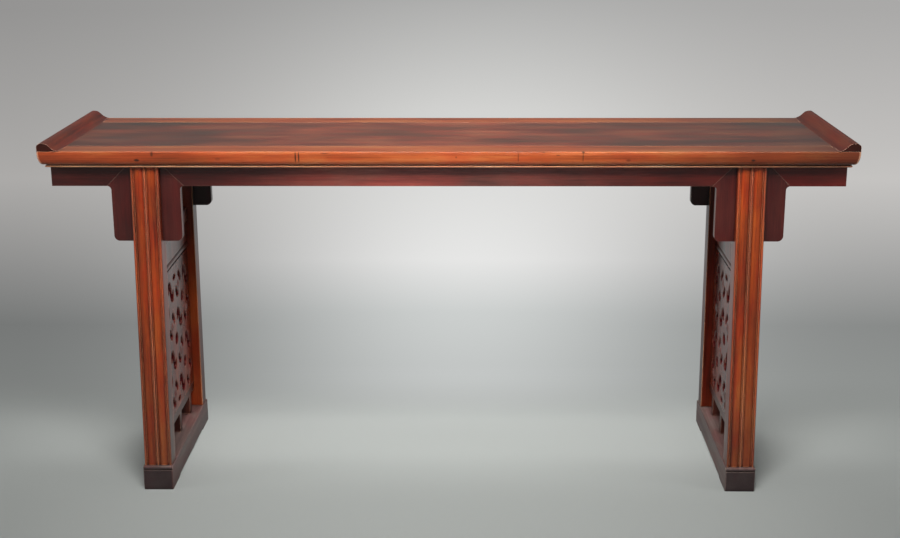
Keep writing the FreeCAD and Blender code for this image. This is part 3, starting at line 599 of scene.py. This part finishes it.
class ALTAR_OT_runners(bpy.types.Operator):
    """Finish the base runners"""

    bl_idname = "altar.runners"
    bl_label = "Base runners"

    def execute(self, context):
        settings = context.scene.altar_finish
        # Scuffed by feet and damp floors, so grey-brown and dull, with pale edges
        dress(["left_runner", "right_runner"], waxed_hardwood(
            "worn_rosewood_runners", "Y", wood_tones(settings, "runner"), settings, shift=0.8, wear=0.9,
            gloss=0.42, arris_mm=2.2, wax=0.0, ior=1.3,
        ))
        return {"FINISHED"}


# Carved openwork

# Lines of the legs that the panels lie between: heights of top and foot, and at both the place of a
# leg's middle along the table and half the gap between front and rear leg. Then half a panel's thickness
LEG_TOP = 0.848
LEG_FOOT = 0.064
LEG_CENTRE = (0.746, 0.7516)
LEG_INNER_FACE = (0.175, 0.192)
PANEL_HALF = 0.012

# The pattern: cells in rows and columns, S slots in every second one, and in the others a rosette
# between two ring slots. Only points within a share of the cell from its middle are measured
CELL = (0.093, 0.095)
CELLS = 4
CELL_REACH = 0.7
PATTERN_DROP = 0.008
# Half the outline of an S, in units of its size. A half turn gives the other half
S_SIZE = (0.027, 0.026)
S_ACROSS = (-1.00, -1.20, -0.98, -0.38, 0.12, 0.36, 0.56, 0.70, 0.78)
S_UP = (0.02, 0.66, 1.10, 1.12, 0.70, 0.12, -0.34, -0.38, -0.14)
S_STEPS = 4
# Ring slots are arcs on two sides of a rosette. Round holes lie at every second corner of four cells, and
# a flat oval, set in a little, in the middle of the top and of the bottom
RING_RADIUS = 0.028
RING_WIDTH = 0.017
RING_SPAN = (math.radians(20), math.radians(70))
HOLE_RADIUS = 0.016
HALF_HOLE = 0.007
HALF_HOLE_SET_IN = 0.018
# Petals of a rosette, their outline and height as a mean and a wave, and the button
PETALS = 6
PETAL_OUTLINE = (0.93, 0.07)
PETAL_HEIGHT = (0.72, 0.28)
BUTTON_RADIUS = 0.0045
BUTTON_RISE = 0.0012

# The grid that is carved, how it is fitted to the holes' edges, and the turn from which an edge is sharp
CARVING_GRID = 0.002
SLOPE_STEP = CARVING_GRID / 20
SNAP_ROUNDS = 2
SNAP_REACH = 0.62
LEAST_STEEPNESS = 0.5
SHARP_TURN = math.radians(50)


def mesh_object(name, points, faces):
    """Object with a mesh made from arrays of points and faces."""
    mesh = bpy.data.meshes.new(name)
    mesh.from_pydata(points, [], faces)
    mesh.update()
    made = bpy.data.objects.new(name, mesh)
    bpy.context.scene.collection.objects.link(made)
    return made


def on_leg(pair, z):
    """Value that changes evenly from the top to the foot of the legs, at a height."""
    return pair[0] + (pair[1] - pair[0]) * (LEG_TOP - z) / (LEG_TOP - LEG_FOOT)


def closed_spline(points):
    """Closed curve: a cubic between each two points, with slopes that keep its bend even, by chord length."""
    count = len(points)
    chord = np.linalg.norm(np.roll(points, -1, 0) - points, axis=1)
    before = np.roll(chord, 1)
    index = np.arange(count)
    system = np.zeros((count, count))
    system[index, index] = 2 * (chord + before)
    system[index, (index + 1) % count] = before
    system[index, (index - 1) % count] = chord
    rise = (np.roll(points, -1, 0) - points) / chord[:, None]
    slope = np.linalg.solve(system, 3 * (before[:, None] * rise + chord[:, None] * np.roll(rise, 1, 0)))
    t = np.linspace(0, 1, S_STEPS, endpoint=False)[None, :, None]
    span = chord[:, None, None]
    curve = (2 * t**3 - 3 * t**2 + 1) * points[:, None] + (t**3 - 2 * t**2 + t) * slope[:, None] * span
    curve = curve + (3 * t**2 - 2 * t**3) * np.roll(points, -1, 0)[:, None]
    return (curve + (t**3 - t**2) * np.roll(slope, -1, 0)[:, None] * span).reshape(-1, 2)


def from_outline(points, corners):
    """Distance to a closed outline's sides, below nothing where a ray crosses it an odd number of times."""
    a, b = corners[None], np.roll(corners, -1, 0)[None]
    p = points[:, None]
    along = np.clip(((p - a) * (b - a)).sum(2) / ((b - a) ** 2).sum(2), 0, 1)
    away = np.linalg.norm(p - a - along[..., None] * (b - a), axis=2).min(1)
    crosses = (a[..., 1] > p[..., 1]) != (b[..., 1] > p[..., 1])
    rise = np.where(b[..., 1] == a[..., 1], 1.0, b[..., 1] - a[..., 1])
    at = a[..., 0] + (p[..., 1] - a[..., 1]) * (b[..., 0] - a[..., 0]) / rise
    inside = (crosses & (p[..., 0] < at)).sum(1) % 2 == 1
    return np.where(inside, -away, away)


def openwork(y, z, centre, carving):
    """Distance from points of the panel to the nearest hole, and the height of the carving there.

    S slots are closed splines, ring slots are arcs with round ends and the rest are circles or ovals. A
    rosette is a dome with a wavy edge, a valley between each two petals and a button in its middle.
    """
    points = np.column_stack([y.ravel(), z.ravel()])
    away = np.full(len(points), CELL[0])
    relief = np.zeros(len(points))
    half = np.column_stack([S_ACROSS, S_UP]) * S_SIZE
    s_outline = closed_spline(np.vstack([half, -half]))
    middle = (CELLS - 1) / 2
    for row in range(CELLS):
        for column in range(CELLS):
            local = points - ((column - middle) * CELL[0], centre + (row - middle) * CELL[1])
            near = np.abs(local).max(1) < CELL[0] * CELL_REACH
            local = local[near]
            if (row + column) % 2 == 0:
                away[near] = np.minimum(away[near], from_outline(local, s_outline))
                continue
            for turned in (local, -local):
                angle = np.clip(np.arctan2(turned[:, 1], turned[:, 0]), *RING_SPAN)
                ring = np.column_stack([np.cos(angle), np.sin(angle)]) * RING_RADIUS
                ring = np.linalg.norm(turned - ring, axis=1) - RING_WIDTH / 2
                away[near] = np.minimum(away[near], ring)
            radius = np.linalg.norm(local, axis=1)
            wave = np.cos(PETALS * np.arctan2(local[:, 1], local[:, 0]))
            reach = carving.rosette_radius
            width = PETAL_OUTLINE[0] + PETAL_OUTLINE[1] * wave
            dome = np.sqrt(np.clip(1 - (radius / reach / width) ** 2, 0, 1))
            petals = dome * (PETAL_HEIGHT[0] + PETAL_HEIGHT[1] * wave * np.clip(radius / reach, 0, 1))
            button = BUTTON_RISE * np.sqrt(np.clip(1 - (radius / BUTTON_RADIUS) ** 2, 0, 1))
            relief[near] = np.maximum(relief[near], (carving.rosette_rise - BUTTON_RISE) * petals + button)
    ovals = [(0.0, side * (CELLS / 2 * CELL[1] - HALF_HOLE_SET_IN), HALF_HOLE) for side in (-1, 1)]
    for row in range(1, CELLS):
        for column in range(1, CELLS):
            if (row + column) % 2 == 0:
                ovals.append(((column - CELLS / 2) * CELL[0], (row - CELLS / 2) * CELL[1], HOLE_RADIUS))
    for across, up, half_height in ovals:
        across, up = (points[:, 0] - across) / HOLE_RADIUS, (points[:, 1] - centre - up) / half_height
        steep = 2 * np.hypot(across / HOLE_RADIUS, up / half_height)
        away = np.minimum(away, (across**2 + up**2 - 1) / np.maximum(steep, 1.0))
    return away.reshape(y.shape), relief.reshape(y.shape)


def carved_board(low, high, carving):
    """Points and faces of an openwork board carved on both sides, closed all round.

    A grid is laid between the legs, points near a hole move onto its edge, and cells in the holes are
    left out. Towards a hole the thickness rounds off as a quarter circle does. Walls join the two faces
    along every open edge.
    """
    columns = round(2 * LEG_INNER_FACE[0] / CARVING_GRID)
    rows = round((high - low) / CARVING_GRID)
    across, z = np.meshgrid(np.linspace(-1, 1, columns + 1), np.linspace(low, high, rows + 1))
    y = across * on_leg(LEG_INNER_FACE, z)
    centre = (low + high) / 2 - PATTERN_DROP
    free = np.zeros_like(y, bool)
    free[1:-1, 1:-1] = True
    for _ in range(SNAP_ROUNDS):
        away = openwork(y, z, centre, carving)[0]
        slope_y = (openwork(y + SLOPE_STEP, z, centre, carving)[0] - away) / SLOPE_STEP
        slope_z = (openwork(y, z + SLOPE_STEP, centre, carving)[0] - away) / SLOPE_STEP
        steep = np.maximum(np.hypot(slope_y, slope_z), LEAST_STEEPNESS) ** 2
        moves = free & (np.abs(away) < CARVING_GRID * SNAP_REACH)
        y = np.where(moves, y - away * slope_y / steep, y)
        z = np.where(moves, z - away * slope_z / steep, z)
    away, relief = openwork(y, z, centre, carving)
    short = carving.edge_round - np.clip(away, 0, carving.edge_round)
    half = PANEL_HALF - carving.edge_round + np.sqrt(carving.edge_round**2 - short**2) + relief

    count = y.size
    index = np.arange(count).reshape(y.shape)
    corners = np.stack([index[:-1, :-1], index[:-1, 1:], index[1:, 1:], index[1:, :-1]], 2).reshape(-1, 4)
    solid = (away.ravel() > -SLOPE_STEP)[corners]
    whole = corners[solid.all(1)]
    front = [whole[:, [0, 1, 2]], whole[:, [0, 2, 3]]]
    for missing in range(4):
        kept = [k for k in range(4) if k != missing]
        front.append(corners[solid[:, kept].all(1) & ~solid[:, missing]][:, kept])
    front = np.vstack(front)
    edges = np.vstack([front[:, [0, 1]], front[:, [1, 2]], front[:, [2, 0]]])
    alone = ~np.isin(edges[:, 0] * count + edges[:, 1], edges[:, 1] * count + edges[:, 0])
    a, b = edges[alone].T
    walls = np.vstack([np.column_stack([b, a, a + count]), np.column_stack([b, a + count, b + count])])
    faces = np.vstack([front, front[:, ::-1] + count, walls])
    flat = on_leg(LEG_CENTRE, z)
    points = np.vstack([
        np.column_stack([(flat + side * half).ravel(), y.ravel(), z.ravel()]) for side in (1, -1)
    ])
    used, faces = np.unique(faces, return_inverse=True)
    return points[used], faces.reshape(-1, 3)


class ALTAR_OT_carved_panels(bpy.types.Operator):
    """Carve the two openwork panels with rounded edges and rosettes"""

    bl_idname = "altar.carved_panels"
    bl_label = "Carved panels"

    def execute(self, context):
        settings = context.scene.altar_finish
        # Pierced, rounded with files and polished by hand, so the faces shine. The sawn walls of the holes
        # keep their deep red, darkened as painted shade
        wood = waxed_hardwood(
            "waxed_rosewood_carving", "Z", wood_tones(settings, "carving"), settings, shift=0.1,
            wear=settings.leg_wear * CARVING_WEAR, gloss=0.2, streaks=0.5, rings=0.02, arris_mm=1.0,
            crests=0.1, hollows=1.0, wax=0.0, grime_and_shade_from=0.6, ior=1.3,
        )
        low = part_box("left_lower_cross_rail")[1].z
        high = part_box("left_middle_cross_rail")[0].z
        points, faces = carved_board(low, high, context.scene.altar_carving)
        for end, mirrored in (("right", False), ("left", True)):
            if mirrored:
                points, faces = points * (-1, 1, 1), faces[:, ::-1]
            piece = mesh_object(end + "_carved_openwork", points, faces)
            piece.data.polygons.foreach_set("use_smooth", np.ones(len(faces), bool))
            piece.data.set_sharp_from_angle(angle=SHARP_TURN)
            piece.data.materials.append(wood)
            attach(piece, "root")
            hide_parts(end + "_openwork_panel")
        return {"FINISHED"}


# Stage

# Soft lamps: name, place, the point each faces, size, setting of its power, spread in degrees, and
# whether it shows in the gloss of the wood
LAMPS = (
    ("key_softbox", (0.0, -1.7, 2.6), (0.0, -0.1, 0.8), (1.2, 0.8), "key_power", 88, False),
    ("front_softbox", (0.0, -3.0, 1.1), (0.0, -0.2, 0.8), (0.6, 0.5), "front_power", 32, False),
    ("rear_softbox", (0.0, 1.3, 3.0), (0.0, 1.0, 0.0), (1.6, 0.8), "rear_power", 72, False),
    ("left_softbox", (-2.9, -0.9, 1.7), (-0.6, -0.2, 0.6), (0.8, 1.2), "side_power", 80, True),
    ("right_softbox", (2.9, -0.9, 1.7), (0.6, -0.2, 0.6), (0.8, 1.2), "side_power", 80, True),
)

# The painted glow on the floor behind, in its middle and at its sides, by twice the lens's height over the
# depth
MIDDLE_GLOW = ((0.16, "#adadac"), (0.32, "#d2d2d0"), (0.54, "#e6e6e5"), (0.62, "#cccfce"), (0.70, "#c3c6c5"))
SIDE_GLOW = ((0.18, "#a09f9e"), (0.42, "#b8b6b4"), (0.56, "#959594"), (0.64, "#7e807f"), (0.76, "#868987"))
# Least depth that is reckoned with, and how steeply the glow falls off to its sides
NEAREST_DEPTH = 2.0
BELL = -38.0
# Width over depth and place along Y where the glow starts and where it is full, how much brighter it
# gets to the right, and within which limits
GLOW_ASIDE = (0.75, 0.34)
GLOW_BEHIND = (-1.0, 0.4)
LEAN = 0.47
LEAN_LIMITS = (0.85, 1.15)
# Where plain paint gives way to the glow, by distance from the middle and by place along Y
PAINT_RADIUS = (1.2, 2.3)
PAINT_BEHIND = (0.1, 0.65)

# Light from all round, and the grey that the camera sees, dimmer in the gloss
WORLD_LIGHT = "#c4c6c8"
WORLD_STRENGTH = 0.24
WALLS_GREY = "#aaaaa8"
WALLS_IN_GLOSS = 0.6

# Camera: sensor, width of the picture and its shift in pixels, and how far it sees
SENSOR_MM = 36.0
PICTURE_WIDTH = 900
CAMERA_SHIFT_PX = (-4.8, -3.8)
CLIP_END = 100.0


def lamp(name, place, aim, size, power, spread, in_gloss):
    """Soft rectangular lamp that faces a point, seen in the gloss of the wood or not."""
    light = bpy.data.lights.new(name, "AREA")
    light.shape = "RECTANGLE"
    light.size, light.size_y = size
    light.energy = power
    light.spread = math.radians(spread)
    made = bpy.data.objects.new(name, light)
    bpy.context.scene.collection.objects.link(made)
    made.location = place
    made.rotation_euler = (Vector(aim) - Vector(place)).to_track_quat("-Z", "Y").to_euler()
    made.visible_glossy = in_gloss


def painted_floor(settings):
    """Painted studio floor: matt pale grey, so it takes a soft shadow, with a painted glow beyond the table.

    Near the table it is plain paint. Further off, what the camera and the gloss see is a painted
    gradient: the glow fades to the sides, as a bell curve of the width over the distance from the lens,
    and towards the far end.
    """
    material = bpy.data.materials.new("matt_painted_studio_floor")
    material.use_nodes = True
    tree = material.node_tree
    tree.nodes.clear()
    coords = add(tree, "ShaderNodeTexCoord", out="Object")
    x = add(tree, "ShaderNodeSeparateXYZ", {0: coords}, out="X")
    y = x.node.outputs["Y"]
    camera_y, camera_z = settings.camera_place[1:]
    depth = add(tree, "ShaderNodeMath", {0: y, 1: -camera_y}, operation="ADD")
    depth = add(tree, "ShaderNodeMath", {0: depth, 1: NEAREST_DEPTH}, operation="MAXIMUM")
    fall = add(tree, "ShaderNodeMath", {0: 2 * camera_z, 1: depth}, operation="DIVIDE")
    middle, sides = (
        add(tree, "ShaderNodeValToRGB", {"Fac": fall}, stops=[(at, linear(colour)) for at, colour in glow])
        for glow in (MIDDLE_GLOW, SIDE_GLOW)
    )
    across = add(tree, "ShaderNodeMath", {0: x, 1: depth}, operation="DIVIDE")
    bell = add(tree, "ShaderNodeMath", {0: across, 1: across}, operation="MULTIPLY")
    bell = add(tree, "ShaderNodeMath", {0: bell, 1: BELL}, operation="MULTIPLY")
    bell = add(tree, "ShaderNodeMath", {0: bell}, operation="EXPONENT")
    backdrop = add(tree, "ShaderNodeMix", {0: bell, 6: sides, 7: middle}, out=2, data_type="RGBA")
    aside = add(tree, "ShaderNodeMath", {0: across}, operation="ABSOLUTE")
    aside = add(tree, "ShaderNodeMapRange", {
        "Value": aside, "From Min": GLOW_ASIDE[0], "From Max": GLOW_ASIDE[1],
    }, interpolation_type="SMOOTHSTEP")
    behind = add(tree, "ShaderNodeMapRange", {
        "Value": y, "From Min": GLOW_BEHIND[0], "From Max": GLOW_BEHIND[1],
    }, interpolation_type="SMOOTHSTEP")
    behind = add(tree, "ShaderNodeMath", {0: behind, 1: aside}, operation="MULTIPLY")
    backdrop = add(tree, "ShaderNodeMix", {0: behind, 6: settings.floor_far, 7: backdrop}, out=2,
                   data_type="RGBA")
    lean = add(tree, "ShaderNodeMath", {0: across, 1: LEAN}, operation="MULTIPLY")
    lean = add(tree, "ShaderNodeMath", {0: lean, 1: behind, 2: 1.0}, operation="MULTIPLY_ADD")
    lean = add(tree, "ShaderNodeMath", {0: lean, 1: LEAN_LIMITS[1]}, operation="MINIMUM")
    lean = add(tree, "ShaderNodeMath", {0: lean, 1: LEAN_LIMITS[0]}, operation="MAXIMUM")
    shining = add(tree, "ShaderNodeEmission", {"Color": backdrop, "Strength": lean})
    matt = add(tree, "ShaderNodeBsdfDiffuse", {"Color": settings.floor_near})
    radius = add(tree, "ShaderNodeVectorMath", {0: coords}, out="Value", operation="LENGTH")
    far = add(tree, "ShaderNodeMapRange", {
        "Value": radius, "From Min": PAINT_RADIUS[0], "From Max": PAINT_RADIUS[1],
    }, interpolation_type="SMOOTHSTEP")
    beyond = add(tree, "ShaderNodeMapRange", {
        "Value": y, "From Min": PAINT_BEHIND[0], "From Max": PAINT_BEHIND[1],
    }, interpolation_type="SMOOTHSTEP")
    far = add(tree, "ShaderNodeMath", {0: far, 1: beyond}, operation="MAXIMUM")
    camera_ray = add(tree, "ShaderNodeLightPath", out="Is Camera Ray")
    glossy_ray = camera_ray.node.outputs["Is Glossy Ray"]
    seen = add(tree, "ShaderNodeMath", {0: camera_ray, 1: glossy_ray}, operation="MAXIMUM")
    far = add(tree, "ShaderNodeMath", {0: far, 1: seen}, operation="MULTIPLY")
    surface = add(tree, "ShaderNodeMixShader", {0: far, 1: matt, 2: shining})
    add(tree, "ShaderNodeOutputMaterial", {"Surface": surface})
    return material


def soft_world():
    """Even grey light from all round, plain grey where the camera or the gloss sees it."""
    world = bpy.data.worlds.new("studio_world")
    bpy.context.scene.world = world
    world.use_nodes = True
    tree = world.node_tree
    tree.nodes.clear()
    light = add(tree, "ShaderNodeBackground", {"Color": linear(WORLD_LIGHT), "Strength": WORLD_STRENGTH})
    walls = add(tree, "ShaderNodeBackground", {"Color": linear(WALLS_GREY), "Strength": 1.0})
    gloss = add(tree, "ShaderNodeBackground", {"Color": linear(WALLS_GREY), "Strength": WALLS_IN_GLOSS})
    camera_ray = add(tree, "ShaderNodeLightPath", out="Is Camera Ray")
    seen = add(tree, "ShaderNodeMixShader", {0: camera_ray.node.outputs["Is Glossy Ray"], 1: light, 2: gloss})
    seen = add(tree, "ShaderNodeMixShader", {0: camera_ray, 1: seen, 2: walls})
    add(tree, "ShaderNodeOutputWorld", {"Surface": seen})


class ALTAR_OT_studio(bpy.types.Operator):
    """Make the floor, the lamps, the world and the camera"""

    bl_idname = "altar.studio"
    bl_label = "Studio"

    def execute(self, context):
        settings = context.scene.altar_studio
        reach = settings.floor_reach
        corners = [(x * reach, y * reach, 0) for x, y in ((-1, -1), (1, -1), (1, 1), (-1, 1))]
        floor = mesh_object("studio_floor", corners, [(0, 1, 2, 3)])
        floor.data.materials.append(painted_floor(settings))
        soft_world()
        for name, place, aim, size, power, spread, in_gloss in LAMPS:
            lamp(name, place, aim, size, getattr(settings, power), spread, in_gloss)
        camera = bpy.data.cameras.new("studio_camera")
        camera.lens = settings.lens
        camera.sensor_width = SENSOR_MM
        camera.shift_x, camera.shift_y = (pixels / PICTURE_WIDTH for pixels in CAMERA_SHIFT_PX)
        camera.clip_end = CLIP_END
        made = bpy.data.objects.new("studio_camera", camera)
        context.scene.collection.objects.link(made)
        made.location = settings.camera_place
        turn = Matrix.Rotation(settings.pan, 3, "Z") @ Matrix.Rotation(math.pi / 2 - settings.tilt, 3, "X")
        made.rotation_euler = (turn @ Matrix.Rotation(settings.roll, 3, "Z")).to_euler()
        context.scene.camera = made
        return {"FINISHED"}


MAKERS = (
    ALTAR_OT_framed_top, ALTAR_OT_battens, ALTAR_OT_aprons, ALTAR_OT_legs, ALTAR_OT_end_frames,
    ALTAR_OT_carved_panels, ALTAR_OT_runners, ALTAR_OT_studio,
)


class ALTAR_PT_sidebar(bpy.types.Panel):
    """Lists the operators and settings in the 3D view's sidebar"""

    bl_idname = "ALTAR_PT_sidebar"
    bl_label = "Altar table"
    bl_space_type = "VIEW_3D"
    bl_region_type = "UI"
    bl_category = "Altar table"

    def draw(self, context):
        for maker in MAKERS:
            self.layout.operator(maker.bl_idname)
        for group in (context.scene.altar_finish, context.scene.altar_carving, context.scene.altar_studio):
            for name in group.__annotations__:
                self.layout.prop(group, name)


CLASSES = (FinishSettings, CarvingSettings, StudioSettings) + MAKERS + (ALTAR_PT_sidebar,)


def register():
    """Register the classes and keep their settings on the scene."""
    for cls in CLASSES:
        bpy.utils.register_class(cls)
    bpy.types.Scene.altar_finish = PointerProperty(type=FinishSettings)
    bpy.types.Scene.altar_carving = PointerProperty(type=CarvingSettings)
    bpy.types.Scene.altar_studio = PointerProperty(type=StudioSettings)


def unregister():
    """Take away the settings and the classes."""
    del bpy.types.Scene.altar_studio
    del bpy.types.Scene.altar_carving
    del bpy.types.Scene.altar_finish
    for cls in reversed(CLASSES):
        bpy.utils.unregister_class(cls)


def main():
    """Register, make everything in order and set the plain view transform."""
    register()
    for maker in MAKERS:
        group, name = maker.bl_idname.split(".")
        getattr(getattr(bpy.ops, group), name)()
    bpy.context.scene.view_settings.view_transform = "Standard"


if __name__ == "__main__":
    main()
